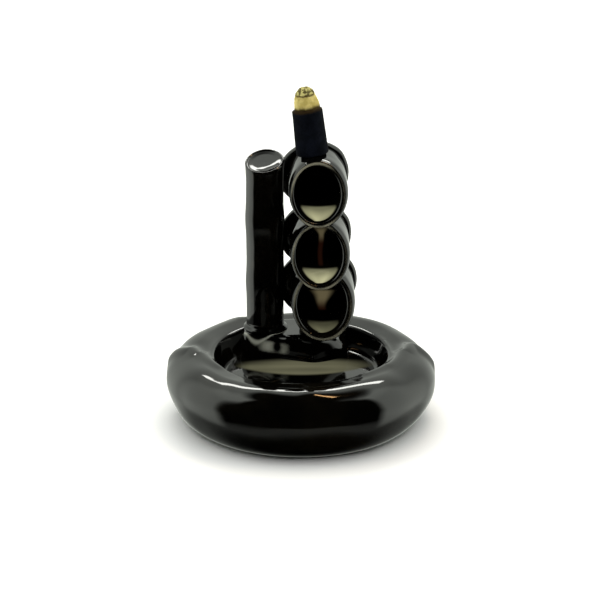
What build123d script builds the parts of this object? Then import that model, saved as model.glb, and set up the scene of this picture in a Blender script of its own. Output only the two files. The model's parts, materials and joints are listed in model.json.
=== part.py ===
"""Bamboo cascade incense burner in glazed ceramic, with a backflow incense cone on its seat.

Frame: origin at the centre of the base on the table, +Z up, the spouts' mouths towards -Y. Millimetres.
A hollow pond bowl stands on its foot rim and is closed below by a raw clay plate. A rock ledge in the back
of the pond carries the bamboo post, and a saddle rock beds the lowest of three bamboo spouts, which are
stacked and step forwards on the way down. Each spout is a tube with a slanted mouth, closed behind by a
node end. Smoke sinks through the seat's hole into the upper spout and runs from mouth to mouth to the pond.
"""
import os
from math import cos, radians, sin, tan

from build123d import *

# ---- driving dimensions -------------------------------------------------------------------------

# pond bowl
bowl_r = 52.0           # widest, at the belly
bowl_h = 27.3           # up to the ridge of the rim
belly_z = 15.3          # height of the widest place
foot_r = 41.8           # outer edge of the foot rim
ridge_r = 40.5          # crest of the rim
lip_r = 33.6            # inner edge of the rim
lip_drop = 0.8          # the rim falls this much from the crest to its inner edge
pool_r = 30.0           # radius of the pond's floor
pool_z = 18.0           # height of the pond's floor
bowl_wall = 4.0
lip_round = 1.0
pool_round = 2.5
dent_angles = (265, 318, 28, 80, 128, 172, 220)   # thumbed dents around the rim, from +X, anticlockwise
dent_radius = 26.0
dent_depth = 0.9
dent_start = 12.0       # a dent begins this far inside the crest
dent_run = 26.0         # and is this long
hollow_low_in = 1.5     # the hollow's low corner, inside the belly's wall
hollow_low_at = 0.62    # and its height, as a share of the belly's
hollow_high_in = 1.2    # the hollow's high corner, inside the belly's wall
hollow_high_at = 0.45   # and its height, as a share of the way from the belly to the crest

# base plate
plate_t = 3.0
plate_inset = 0.8       # the plate sits this much above the table
plate_edge = 0.4        # chamfer round its lower edge
vent_r = 2.0

# rock ledge and saddle rock
ledge_rise = 0.7        # the ledge's top stands this much above the rim's crest
ledge_left_past = 0.3   # the ledge's left edge, inside the post's left side
ledge_right = 18.5
ledge_left_y = 14.5     # front edge at the left corner
ledge_mid_y = 9.5
ledge_right_y = 3.5     # front edge at the right corner
ledge_round = 2.0
ledge_gap = 0.15        # clearance to the bowl's inner wall
rock_half = 9.5         # half width of the saddle rock
rock_front = 12.0
rock_round = 2.0
rock_back_inset = 1.0   # in front of the lower spout's back
rock_hold = 0.62        # the rock's top, this share of the lower spout's radius below its axis

# bamboo post
post_gap = 0.55         # sideways between the post and the node end that reaches furthest left
post_y = 23.5
post_r = 7.3
post_wall = 2.2
post_top_z = 95.9       # height of the slanted cut on the post's axis
cut_front = 19.5        # the cut falls towards the front by this angle
cut_left = 4.7          # and towards the left by this one
node_swell = 0.3        # how far the nodes of the post stand proud
node_half = 3.0         # half height of a node's swelling
post_nodes = (47.0, 72.0)
cap_t = 2.2
cap_dish = 0.8          # the cap lies this far down inside the cut
coil_w = 1.6            # clay coil round the post's foot
coil_hollow = 1.35      # radius of the coil's hollow face, in coil widths

# spouts, lowest first: x of the axis at the mouth, lip's y, outer radius, wall, turn about Z, and how
# far the spout is bedded into what is under it
spouts = {
    "lower": dict(x=8.7, lip_y=-10.0, r=12.3, wall=2.9, yaw=0.6, sunk=0.0),
    "middle": dict(x=7.6, lip_y=-7.6, r=11.5, wall=2.6, yaw=1.0, sunk=5.1),
    "upper": dict(x=7.1, lip_y=0.3, r=11.4, wall=2.6, yaw=1.8, sunk=1.0),
}
rock_h = 5.0            # thickness of the saddle rock under the lower spout, at its mouth end
spout_length = 39.5     # lip to the back of the node end
spout_pitch = 2.0       # the spouts fall towards their mouths
mouth_slant = 15.5      # the mouth's top lies this far behind its lip
mouth_round = 0.9
node_ring = 0.8         # the node ring stands this far proud of its spout
node_end_t = 5.0        # length of the node end
end_wall = 2.6
node_round = 1.6

# seat, smoke hole and incense cone
seat_clear = 0.9        # between the cone's foot and the node end behind it
seat_margin = 0.6       # the flat seat reaches this far past the cone's foot, lengthways
seat_shift = -1.9       # centre of the seat, sideways from the spout's axis
seat_drop = 0.9         # the flat seat lies this far below the spout's crown
cone_lean = 7.0         # the seat and the cone lean this much towards -X
hole_r = 1.9
cone_base_r = 6.4
cone_shoulder_r = 5.9   # where the unburnt body ends
cone_body_h = 18.0
cone_round = 0.6        # the shoulder's edge
ash_r = 5.1
ash_h = 8.6
ash_tip_r = 2.1
cone_bore_r = 1.75
cone_bore_h = 11.0
cone_gap = 0.25         # rough pressed foot of the cone, kept clear of the seat

ledge_z = bowl_h + ledge_rise
os.makedirs("parts", exist_ok=True)


def write(builder, name):
    builder.part.label = name
    export_step(builder.part, f"parts/{name}.step")


# ---- pond bowl ----------------------------------------------------------------------------------
lip_z = bowl_h - lip_drop
with BuildPart() as pond_bowl:
    with BuildSketch(Plane.XZ) as bowl_section:
        with BuildLine():
            belly_width = bowl_r - foot_r
            Line((0, 0), (foot_r, 0))
            Bezier(
                (foot_r, 0),
                (foot_r + 0.41 * belly_width, 0.1 * belly_z),
                (foot_r + 0.94 * belly_width, 0.52 * belly_z),
                (bowl_r, belly_z),
            )
            EllipticalCenterArc((ridge_r, belly_z), bowl_r - ridge_r, bowl_h - belly_z, arc_size=90)
            Line((ridge_r, bowl_h), (lip_r, lip_z))
            Line((lip_r, lip_z), (pool_r, pool_z))
            Line((pool_r, pool_z), (0, pool_z))
            Line((0, pool_z), (0, 0))
        make_face()
        inner_lip = bowl_section.vertices().sort_by_distance((lip_r, lip_z))[0]
        fillet(inner_lip, lip_round)
        pool_corner = bowl_section.vertices().sort_by_distance((pool_r, pool_z))[0]
        fillet(pool_corner, pool_round)
    revolve(axis=Axis.Z)
    # the hollow under the pond and inside the rim, open below
    with BuildSketch(Plane.XZ):
        with BuildLine():
            shell_r = foot_r - bowl_wall
            Polyline(
                (0, 0),
                (shell_r, 0),
                (shell_r, plate_inset + plate_t),
                (bowl_r - bowl_wall - hollow_low_in, hollow_low_at * belly_z),
                (bowl_r - bowl_wall, belly_z),
                (bowl_r - bowl_wall - hollow_high_in, belly_z + hollow_high_at * (bowl_h - belly_z)),
                (ridge_r + 1.5, bowl_h - bowl_wall),
                (lip_r + 0.8 * bowl_wall, lip_z - bowl_wall),
                (pool_r + 0.7 * bowl_wall, pool_z - bowl_wall),
                (0, pool_z - bowl_wall),
                close=True,
            )
        make_face()
    revolve(axis=Axis.Z, mode=Mode.SUBTRACT)
    # thumbed dents: long shallow hollows that cross the rim
    for angle in dent_angles:
        across = Plane.XY.rotated((0, 0, angle)).offset(bowl_h + dent_radius - dent_depth)
        outwards = Plane(
            across.origin + across.x_dir * (ridge_r - dent_start), x_dir=across.y_dir, z_dir=across.x_dir
        )
        with BuildSketch(outwards):
            Circle(dent_radius)
        extrude(amount=dent_run, mode=Mode.SUBTRACT)
write(pond_bowl, "pond_bowl")

# ---- base plate: raw clay, luted inside the foot rim, with a firing vent --------------------------
with BuildPart() as base_plate:
    with BuildSketch(Plane.XY.offset(plate_inset)):
        Circle(foot_r - bowl_wall)
        with Locations((0, foot_r / 2)):
            Circle(vent_r, mode=Mode.SUBTRACT)
    extrude(amount=plate_t)
    chamfer(base_plate.faces().sort_by(Axis.Z)[0].outer_wire().edges(), plate_edge)
write(base_plate, "base_plate")


# ---- spouts ---------------------------------------------------------------------------------------
def forward(spout):
    """Direction of a spout's axis, from its node end to its mouth."""
    turn, fall = radians(spout["yaw"]), radians(spout_pitch)
    return Vector(sin(turn) * cos(fall), -cos(turn) * cos(fall), -sin(fall))


def axis_point(spout, y):
    """Point of a spout's axis at a given y."""
    run = forward(spout)
    mouth_middle = Vector(spout["x"], spout["lip_y"] + mouth_slant / 2, spout["z"])
    return mouth_middle + run * ((y - mouth_middle.Y) / run.Y)


def back_plane(spout):
    """Plane across the back of a spout. Its Z runs along the axis to the mouth and its Y points up."""
    side = Vector(cos(radians(spout["yaw"])), sin(radians(spout["yaw"])), 0)
    back = axis_point(spout, spout["lip_y"] + spout_length)
    return Plane(back, x_dir=side, z_dir=forward(spout))


def envelope(spout):
    """The outside of a spout's tube and node end as one solid, to bed neighbours against."""
    plane = back_plane(spout)
    with BuildPart(mode=Mode.PRIVATE) as whole:
        with BuildSketch(plane):
            Circle(spout["r"])
        extrude(amount=spout_length)
        with BuildSketch(plane):
            Circle(spout["r"] + node_ring)
        extrude(amount=node_end_t)
    return whole.part


# each spout stands on the one below: its height follows from both radii and how far it is bedded
under_z, under_r = ledge_z + rock_h, 0.0
below = None
for spout in spouts.values():
    if below:
        mouth_middle_y = spout["lip_y"] + mouth_slant / 2
        under_z, under_r = axis_point(below, mouth_middle_y).Z, below["r"]
    spout["z"] = under_z + under_r + spout["r"] - spout["sunk"]
    below = spout

# the post stands to the left of all the node ends, clear of them
post_x = min(back_plane(s).origin.X - s["r"] - node_ring for s in spouts.values()) - post_gap - post_r

# the seat is a flat cut in the upper spout's crown, in front of its node end
top_spout = spouts["upper"]
seat_y = top_spout["lip_y"] + spout_length - node_end_t - seat_clear - cone_base_r
seat_axis = axis_point(top_spout, seat_y)
lean = radians(cone_lean)
seat = Plane(
    (seat_axis.X + seat_shift, seat_y, seat_axis.Z + top_spout["r"] - seat_drop),
    x_dir=(cos(lean), 0, sin(lean)),
    z_dir=(-sin(lean), 0, cos(lean)),
)

bedded_by = {"lower": "middle", "middle": "upper"}
for name, spout in spouts.items():
    plane = back_plane(spout)
    radius, bore = spout["r"], spout["r"] - spout["wall"]
    mouth = plane.offset(spout_length - mouth_slant / 2)
    face_normal = Vector(0, mouth_slant, 2 * radius).normalized()
    mouth_cut = Plane(
        mouth.origin, x_dir=plane.x_dir, z_dir=plane.y_dir * face_normal.Y + plane.z_dir * face_normal.Z
    )
    with BuildPart() as tube:
        with BuildSketch(plane.offset(node_end_t)):
            Circle(radius)
            Circle(bore, mode=Mode.SUBTRACT)
        extrude(amount=spout_length - node_end_t)
        with BuildSketch(mouth_cut):
            Rectangle(4 * radius, 6 * radius)
        extrude(amount=3 * radius, mode=Mode.SUBTRACT)
        mouth_face = tube.faces().filter_by(lambda f: f.normal_at().dot(mouth_cut.z_dir) > 0.999)[0]
        fillet(mouth_face.edges(), mouth_round)
        if name in bedded_by:
            add(envelope(spouts[bedded_by[name]]), mode=Mode.SUBTRACT)
        if spout is top_spout:
            with BuildSketch(seat):
                Rectangle(4 * cone_base_r, 2 * (cone_base_r + seat_margin))
            extrude(amount=radius, mode=Mode.SUBTRACT)
            with BuildSketch(seat):
                Circle(hole_r)
            extrude(amount=-2 * spout["wall"], mode=Mode.SUBTRACT)
    write(tube, f"{name}_spout")

    with BuildPart() as node_end:
        with BuildSketch(plane):
            Circle(radius + node_ring)
        extrude(amount=node_end_t)
        fillet(node_end.edges(), node_round)
        with BuildSketch(plane.offset(end_wall)):
            Circle(bore)
        extrude(amount=node_end_t, mode=Mode.SUBTRACT)
        if name in bedded_by:
            add(envelope(spouts[bedded_by[name]]), mode=Mode.SUBTRACT)
    write(node_end, f"{name}_node_end")

# ---- rock ledge -----------------------------------------------------------------------------------
ledge_left = post_x - post_r + ledge_left_past
with BuildPart() as rock_ledge:
    with BuildSketch(Plane.XY.offset(pool_z)):
        with BuildLine():
            front = ThreePointArc(
                (ledge_left, ledge_left_y), (0, ledge_mid_y), (ledge_right, ledge_right_y)
            )
            Polyline(front @ 1, (ledge_right, 2 * pool_r), (ledge_left, 2 * pool_r), front @ 0)
        make_face()
    extrude(amount=ledge_z - pool_z)
    # its back fits the bowl's inner wall
    with BuildSketch(Plane.XZ):
        with BuildLine():
            fit_low = pool_r - pool_round - ledge_gap
            fit_high = lip_r - lip_round - ledge_gap
            Polyline(
                (0, pool_z),
                (fit_low, pool_z),
                (pool_r - ledge_gap, pool_z + pool_round),
                (fit_high, lip_z - lip_round),
                (fit_high, lip_z + ledge_z),
                (0, lip_z + ledge_z),
                close=True,
            )
        make_face()
    revolve(axis=Axis.Z, mode=Mode.INTERSECT)
    top_face = rock_ledge.faces().sort_by(Axis.Z)[-1]
    fillet(top_face.edges().sort_by(Axis.Y)[0], ledge_round)
write(rock_ledge, "rock_ledge")

# ---- saddle rock: beds the lower spout ------------------------------------------------------------
bed = spouts["lower"]
rock_back = bed["lip_y"] + spout_length - rock_back_inset
rock_top = bed["z"] - rock_hold * bed["r"]
with BuildPart() as saddle_rock:
    with BuildSketch(Plane.XY.offset(ledge_z)):
        with Locations((bed["x"], (rock_front + rock_back) / 2)):
            RectangleRounded(2 * rock_half, rock_back - rock_front, rock_round)
    extrude(amount=rock_top - ledge_z)
    add(envelope(bed), mode=Mode.SUBTRACT)
write(saddle_rock, "saddle_rock")

# ---- bamboo post ----------------------------------------------------------------------------------
post_foot = Plane((post_x, post_y, ledge_z))
cut_normal = Vector(-tan(radians(cut_left)), -tan(radians(cut_front)), 1).normalized()
cut_plane = Plane((post_x, post_y, post_top_z), x_dir=(1, 0, tan(radians(cut_left))), z_dir=cut_normal)


def stalk(inset):
    """Solid post, shrunk by inset, with its swollen nodes, from the ledge to well above the cut."""
    section = Plane((post_x, post_y, 0), x_dir=(1, 0, 0), z_dir=(0, -1, 0))
    radius = post_r - inset
    with BuildPart(mode=Mode.PRIVATE) as solid:
        with BuildSketch(section):
            with BuildLine():
                here = (radius, ledge_z)
                Line((0, ledge_z), here)
                for node in post_nodes:
                    Line(here, (radius, node - node_half))
                    ThreePointArc(
                        (radius, node - node_half),
                        (radius + node_swell, node),
                        (radius, node + node_half),
                    )
                    here = (radius, node + node_half)
                top = (radius, post_top_z + 2 * post_r)
                Line(here, top)
                Line(top, (0, post_top_z + 2 * post_r))
                Line((0, post_top_z + 2 * post_r), (0, ledge_z))
            make_face()
        revolve(axis=Axis(section.origin, (0, 0, 1)))
    return solid.part


with BuildPart() as bamboo_post:
    add(stalk(0))
    add(stalk(post_wall), mode=Mode.SUBTRACT)
    with BuildSketch(cut_plane):
        Circle(4 * post_r)
    extrude(amount=6 * post_r, mode=Mode.SUBTRACT)
write(bamboo_post, "bamboo_post")

with BuildPart() as post_cap:
    add(stalk(post_wall))
    with BuildSketch(cut_plane.offset(-cap_dish)):
        Circle(4 * post_r)
    extrude(amount=6 * post_r, mode=Mode.SUBTRACT)
    with BuildSketch(cut_plane.offset(-cap_dish - cap_t)):
        Circle(4 * post_r)
    extrude(amount=-2 * post_top_z, mode=Mode.SUBTRACT)
write(post_cap, "post_cap")

# clay coil smoothed round the post's foot
with BuildPart() as foot_coil:
    section = Plane(post_foot.origin, x_dir=(1, 0, 0), z_dir=(0, -1, 0))
    with BuildSketch(section):
        with BuildLine():
            inner = post_r
            Line((inner, 0), (inner + coil_w, 0))
            Line((inner, 0), (inner, coil_w))
            RadiusArc((inner, coil_w), (inner + coil_w, 0), coil_hollow * coil_w)
        make_face()
    revolve(axis=Axis(section.origin, (0, 0, 1)))
write(foot_coil, "foot_coil")

# ---- incense cone: pressed body, bored from below, and the ash left standing on it ------------------
seat_section = Plane(seat.origin + seat.z_dir * cone_gap, x_dir=seat.x_dir, z_dir=-seat.y_dir)
with BuildPart() as cone_body:
    with BuildSketch(seat_section):
        with BuildLine():
            Polyline(
                (cone_bore_r, 0),
                (cone_base_r, 0),
                (cone_shoulder_r, cone_body_h),
                (0, cone_body_h),
                (0, cone_bore_h),
                (cone_bore_r, cone_bore_h - cone_bore_r),
                close=True,
            )
        make_face()
    revolve(axis=Axis(seat.origin, seat.z_dir))
    shoulder = cone_body.edges().filter_by(GeomType.CIRCLE).sort_by(Axis.Z)[-1]
    fillet(shoulder, cone_round)
write(cone_body, "cone_body")

with BuildPart() as cone_ash:
    with BuildSketch(seat_section):
        with BuildLine():
            Line((0, cone_body_h), (ash_r, cone_body_h))
            Spline(
                (ash_r, cone_body_h),
                (0.86 * ash_r, cone_body_h + 0.5 * ash_h),
                (ash_tip_r, cone_body_h + 0.93 * ash_h),
                (0, cone_body_h + ash_h),
                tangents=((-0.1, 1), (-1, 0)),
            )
            Line((0, cone_body_h + ash_h), (0, cone_body_h))
        make_face()
    revolve(axis=Axis(seat.origin, seat.z_dir))
write(cone_ash, "cone_ash")
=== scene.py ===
"""Looks for the bamboo cascade incense burner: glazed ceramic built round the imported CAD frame. Metres."""
import json
from math import atan2, cos, degrees, exp, hypot, pi, radians, sin, sqrt, tan

import bmesh
import bpy
from mathutils import Matrix, Vector, noise


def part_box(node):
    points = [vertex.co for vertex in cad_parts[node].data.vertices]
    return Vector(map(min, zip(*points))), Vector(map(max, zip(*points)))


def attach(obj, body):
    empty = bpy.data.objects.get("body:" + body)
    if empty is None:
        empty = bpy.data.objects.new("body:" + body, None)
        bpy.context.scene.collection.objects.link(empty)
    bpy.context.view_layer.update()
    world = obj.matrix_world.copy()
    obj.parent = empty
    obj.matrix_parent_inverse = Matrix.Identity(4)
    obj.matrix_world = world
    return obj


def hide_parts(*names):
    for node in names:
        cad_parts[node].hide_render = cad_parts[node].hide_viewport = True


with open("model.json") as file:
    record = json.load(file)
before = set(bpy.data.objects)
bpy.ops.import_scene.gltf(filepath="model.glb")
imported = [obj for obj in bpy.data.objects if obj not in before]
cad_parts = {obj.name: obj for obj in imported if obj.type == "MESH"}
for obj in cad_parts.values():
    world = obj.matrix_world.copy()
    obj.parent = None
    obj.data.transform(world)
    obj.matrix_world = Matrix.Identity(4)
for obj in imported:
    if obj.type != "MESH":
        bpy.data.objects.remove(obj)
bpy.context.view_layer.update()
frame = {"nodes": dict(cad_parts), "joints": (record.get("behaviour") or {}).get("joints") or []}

MM = 0.001

# the cone's sizes and foot, which its finishes use too
CONE_BASE_R, CONE_SHOULDER_R, CONE_BODY_H, ASH_R, ASH_H = 6.4 * MM, 5.9 * MM, 18.0 * MM, 5.1 * MM, 8.6 * MM
lift = Vector(frame["joints"][0]["axis"]).normalized()
cone_low, cone_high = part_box("cone_body")
cone_foot = Vector((
    cone_high.x - CONE_BASE_R * lift.z, (cone_low.y + cone_high.y) / 2, cone_low.z - CONE_BASE_R * lift.x,
))


# ---- nodes in plain arithmetic --------------------------------------------------------------------
class Value:
    """A node's output, for use in Python expressions. Each operation adds its Math node."""

    def __init__(self, tree, socket):
        self.tree, self.socket = tree, socket

    def math(self, operation, *others, clamp=False):
        node = self.tree.nodes.new("ShaderNodeMath")
        node.operation, node.use_clamp = operation, clamp
        for slot, other in enumerate((self, *others)):
            connect(self.tree, other, node.inputs[slot])
        return Value(self.tree, node.outputs[0])

    def __add__(self, other):
        return self.math("ADD", other)

    def __sub__(self, other):
        return self.math("SUBTRACT", other)

    def __mul__(self, other):
        return self.math("MULTIPLY", other)

    def __truediv__(self, other):
        return self.math("DIVIDE", other)

    def __pow__(self, other):
        return self.math("POWER", other)

    def __rsub__(self, other):
        node = self.tree.nodes.new("ShaderNodeMath")
        node.operation = "SUBTRACT"
        node.inputs[0].default_value = other
        connect(self.tree, self, node.inputs[1])
        return Value(self.tree, node.outputs[0])

    __radd__, __rmul__ = __add__, __mul__

    def clamped(self):
        return self.math("ADD", 0.0, clamp=True)

    def at_least(self, other):
        return self.math("MAXIMUM", other)

    def sine(self):
        return self.math("SINE")

    def cosine(self):
        return self.math("COSINE")


def connect(tree, thing, socket):
    """Puts a number, a colour, a vector, a Value or a socket into a node's input."""
    if isinstance(thing, Value):
        tree.links.new(thing.socket, socket)
    elif isinstance(thing, bpy.types.NodeSocket):
        tree.links.new(thing, socket)
    else:
        socket.default_value = thing


class Bench:
    """Adds nodes to one tree."""

    def __init__(self, tree):
        self.tree = tree

    def add(self, kind, settings=None, inputs=None, output=0):
        """A node of that kind, with its settings and its inputs by name or number. Returns an output."""
        node = self.tree.nodes.new(kind)
        for name, value in (settings or {}).items():
            setattr(node, name, value)
        for name, thing in (inputs or {}).items():
            connect(self.tree, thing, node.inputs[name])
        return Value(self.tree, node.outputs[output])

    def smooth(self, value, low, high):
        """0 below low and 1 above high, eased between."""
        return self.add(
            "ShaderNodeMapRange",
            {"interpolation_type": "SMOOTHSTEP"},
            {"Value": value, "From Min": low, "From Max": high},
        )

    def mix(self, factor, first, second):
        """Colour between two colours. A Mix node takes colours at 6 and 7, and gives one at 2."""
        node = self.tree.nodes.new("ShaderNodeMix")
        node.data_type = "RGBA"
        connect(self.tree, factor, node.inputs[0])
        connect(self.tree, first, node.inputs[6])
        connect(self.tree, second, node.inputs[7])
        return Value(self.tree, node.outputs[2])

    def noise(self, place, scale, detail=3.0, rough=0.5):
        return self.add(
            "ShaderNodeTexNoise",
            None,
            {"Vector": place, "Scale": scale, "Detail": detail, "Roughness": rough},
        )


# ---- glazes, clay and incense ---------------------------------------------------------------------
def finish(name):
    """A new material: its Bench, its Principled shader and the place on the piece."""
    material = bpy.data.materials.new(name)
    material.use_nodes = True
    bench = Bench(material.node_tree)
    shader = next(n for n in material.node_tree.nodes if n.type == "BSDF_PRINCIPLED")
    place = bench.add("ShaderNodeTexCoord", output="Object")
    return material, bench, shader, place


def lay_on(bench, shader, colour, roughness, relief, strength, depth):
    """Gives a shader its colour, its roughness and its relief."""
    connect(bench.tree, colour, shader.inputs["Base Color"])
    connect(bench.tree, roughness, shader.inputs["Roughness"])
    bump = bench.add("ShaderNodeBump", None, {"Strength": strength, "Distance": depth, "Height": relief})
    connect(bench.tree, bump, shader.inputs["Normal"])


def dark_glaze(name, waviness=1.0, reflection_colour=(0.20, 0.19, 0.14, 1)):
    """Near-black brown gloss that breaks to olive brown on edges, and is paler in painted reflections."""
    material, bench, shader, place = finish(name)
    pooled = bench.noise(place, 60.0, 4.0)
    mottle = bench.noise(place, 420.0, 3.0)
    thick, thin = (0.0006, 0.0006, 0.0005, 1), (0.0026, 0.0021, 0.0012, 1)
    colour = bench.mix(bench.smooth(pooled, 0.4, 0.7), thick, thin)
    edge = bench.add("ShaderNodeNewGeometry", output="Pointiness")
    worn = bench.smooth(edge + (mottle - 0.5) * 0.05, 0.52, 0.62)
    colour = bench.mix(worn * 0.6, colour, (0.022, 0.017, 0.010, 1))
    # painted highlights and reflections: the colour turns paler where the mesh marks them
    painted_reflection = bench.add("ShaderNodeAttribute", {"attribute_name": "painted_reflection"}, output="Fac")
    reflection_mask = bench.smooth(painted_reflection + (mottle - 0.5) * 0.2 + (pooled - 0.5) * 0.4, 0.30, 1.05)
    colour = bench.mix(reflection_mask, colour, reflection_colour)
    shader.inputs["IOR"].default_value = 1.6
    ripple = bench.noise(place, 70.0, 1.0) * 0.6 + bench.noise(place, 700.0, 1.0) * 0.012
    lay_on(bench, shader, colour, 0.04 + pooled * 0.05, ripple, 0.4 * waviness, 0.6 * MM)
    return material


def clay_finish():
    material, bench, shader, place = finish("raw_clay")
    grain = bench.noise(place, 900.0, 5.0, 0.65)
    patch = bench.noise(place, 70.0, 2.0)
    speck = bench.add("ShaderNodeTexVoronoi", None, {"Vector": place, "Scale": 700.0})
    colour = bench.mix(patch, (0.30, 0.17, 0.10, 1), (0.42, 0.27, 0.17, 1))
    colour = bench.mix(bench.smooth(speck, 0.22, 0.1) * 0.6, colour, (0.10, 0.055, 0.03, 1))
    lay_on(bench, shader, colour, 0.75 + grain * 0.2, grain, 0.6, 0.4 * MM)
    return material


def up_the_cone(bench, place):
    """Distance up the cone's own axis from its foot."""
    x, y, z = (bench.add("ShaderNodeSeparateXYZ", None, {"Vector": place}, output=n) for n in range(3))
    foot = cone_foot.x * lift.x + cone_foot.z * lift.z
    return x * lift.x + z * lift.z - foot, y


def incense_finish():
    material, bench, shader, place = finish("pressed_incense")
    grain = bench.noise(place, 1900.0, 4.0, 0.7)
    patch = bench.noise(place, 260.0, 3.0)
    height, _ = up_the_cone(bench, place)
    dense, loose = (0.0012, 0.0020, 0.0042, 1), (0.0030, 0.0042, 0.0085, 1)
    colour = bench.mix(bench.smooth(patch, 0.35, 0.7), dense, loose)
    colour = bench.mix(bench.smooth(grain, 0.62, 0.75) * 0.4, colour, (0.012, 0.013, 0.018, 1))
    burnt = bench.smooth(height + patch * (1.6 * MM), CONE_BODY_H - 0.4 * MM, CONE_BODY_H + 0.8 * MM)
    colour = bench.mix(burnt, colour, (0.022, 0.013, 0.004, 1))
    shader.inputs["Specular IOR Level"].default_value = 0.08
    lay_on(bench, shader, colour, 0.8 + grain * 0.15, grain + patch * 1.2, 0.8, 0.3 * MM)
    return material


def ash_finish():
    material, bench, shader, place = finish("cone_ash")
    grain = bench.noise(place, 1500.0, 5.0, 0.7)
    patch = bench.noise(place, 300.0, 3.0)
    height, depth = up_the_cone(bench, place)
    colour = bench.mix(bench.smooth(patch, 0.35, 0.65), (0.66, 0.55, 0.20, 1), (0.44, 0.35, 0.10, 1))
    colour = bench.mix(bench.smooth(grain, 0.6, 0.72) * 0.4, colour, (0.80, 0.74, 0.42, 1))
    # the crumbling tip is greyer, and a crack runs round the front under it
    tip = bench.smooth(height + patch * (2 * MM), CONE_BODY_H + 0.70 * ASH_H, CONE_BODY_H + 0.86 * ASH_H)
    crumb = bench.noise(place, 650.0, 2.0)
    crumbs = bench.mix(bench.smooth(crumb, 0.42, 0.56), (0.10, 0.085, 0.03, 1), (0.52, 0.47, 0.17, 1))
    colour = bench.mix(tip, colour, crumbs)
    wander = (bench.noise(place, 420.0, 2.0) - 0.5) * (1.2 * MM)
    off_crack = (height + wander - (CONE_BODY_H + 0.66 * ASH_H)).math("ABSOLUTE")
    in_front = bench.smooth(depth, cone_foot.y - 1 * MM, cone_foot.y - 2 * MM)
    crack = bench.smooth(off_crack, 0.42 * MM, 0.12 * MM) * in_front
    colour = bench.mix(crack * 0.7, colour, (0.045, 0.02, 0.006, 1))
    scorched = bench.smooth(height - patch * (1.6 * MM), CONE_BODY_H + 1.2 * MM, CONE_BODY_H - 0.4 * MM)
    colour = bench.mix(scorched, colour, (0.05, 0.032, 0.008, 1))
    shader.inputs["Specular IOR Level"].default_value = 0.15
    relief = grain * 0.6 + tip * crumb * 2.0 - crack * 1.5
    lay_on(bench, shader, colour, 0.9 + grain * 0.1, relief, 0.9, 0.5 * MM)
    return material


# ---- mesh helpers ---------------------------------------------------------------------------------
def piece_from_grid(name, rows, material, cap_ends=False):
    """A smooth piece from rings of points. cap_ends closes the first and the last ring."""
    shape = bmesh.new()
    rings = [[shape.verts.new(p) for p in row] for row in rows]
    count = len(rings[0])
    for lower, upper in zip(rings, rings[1:]):
        for i in range(count):
            j = (i + 1) % count
            shape.faces.new((lower[i], lower[j], upper[j], upper[i]))
    if cap_ends:
        shape.faces.new(rings[0][::-1])
        shape.faces.new(rings[-1])
    bmesh.ops.remove_doubles(shape, verts=shape.verts, dist=1e-7)
    bmesh.ops.recalc_face_normals(shape, faces=shape.faces)
    mesh = bpy.data.meshes.new(name)
    shape.to_mesh(mesh)
    shape.free()
    return show(name, mesh, material)


def show(name, mesh, material):
    """Puts a mesh in the scene as a smooth piece with one material."""
    for face in mesh.polygons:
        face.use_smooth = True
    mesh.materials.clear()
    mesh.materials.append(material)
    piece = bpy.data.objects.new(name, mesh)
    bpy.context.scene.collection.objects.link(piece)
    return piece


def rounded(corners, steps=7):
    """Points along an outline of (x, y, radius) corners, each corner rounded by its radius."""
    points = []
    for n, (x, y, radius) in enumerate(corners):
        here = Vector((x, y))
        if radius == 0 or n in (0, len(corners) - 1):
            points.append(here)
            continue
        before = Vector(corners[n - 1][:2]) - here
        after = Vector(corners[n + 1][:2]) - here
        half = before.angle(after) / 2
        reach = radius / tan(half)
        middle = here + (before.normalized() + after.normalized()).normalized() * (radius / sin(half))
        start = here + before.normalized() * reach - middle
        end = here + after.normalized() * reach - middle
        turn = start.angle_signed(end)
        for s in range(steps + 1):
            arm = start.copy()
            arm.rotate(Matrix.Rotation(-turn * s / steps, 2))
            points.append(middle + arm)
    return points


def divided(points, longest):
    """The same outline with its long stretches divided."""
    out = [points[0]]
    for a, b in zip(points, points[1:]):
        parts = max(1, round((b - a).length / longest))
        out += [a.lerp(b, s / parts) for s in range(1, parts + 1)]
    return out


def turned(name, outline, stand, material, around=96, shape=None):
    """Turns an outline of (radius, height) about a stand's Z. shape may move a point, given as
    (radius, height, angle), before it is placed."""
    rows = []
    for point in outline:
        row = []
        for step in range(around):
            angle = 2 * pi * step / around
            radius, height = (shape(point.x, point.y, angle) if shape else point)
            row.append(stand @ Vector((radius * cos(angle), radius * sin(angle), height)))
        rows.append(row)
    return piece_from_grid(name, rows, material)


def stand_along(origin, direction, up):
    """Matrix with Z along direction and Y towards up, at origin."""
    z = direction.normalized()
    x = up.cross(z).normalized()
    y = z.cross(x)
    return Matrix.Translation(origin) @ Matrix((x, y, z)).transposed().to_4x4()


# ---- bamboo culm: one Geometry Nodes tree for the spouts and the post -------------------------------
CULM_SIZES = {
    "Radius": 0.0115, "Wall": 0.0026, "Length": 0.03, "Slant": 0.0155, "Lip Flare": 0.0,
    "Swell": 0.0, "First Node": 0.02, "Node Spacing": 0.025, "Node Width": 0.005,
    "Bore Shift": 0.0, "Thin Lip": 0.0, "Unevenness": 0.0002, "Seed": 0.0,
}


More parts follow.
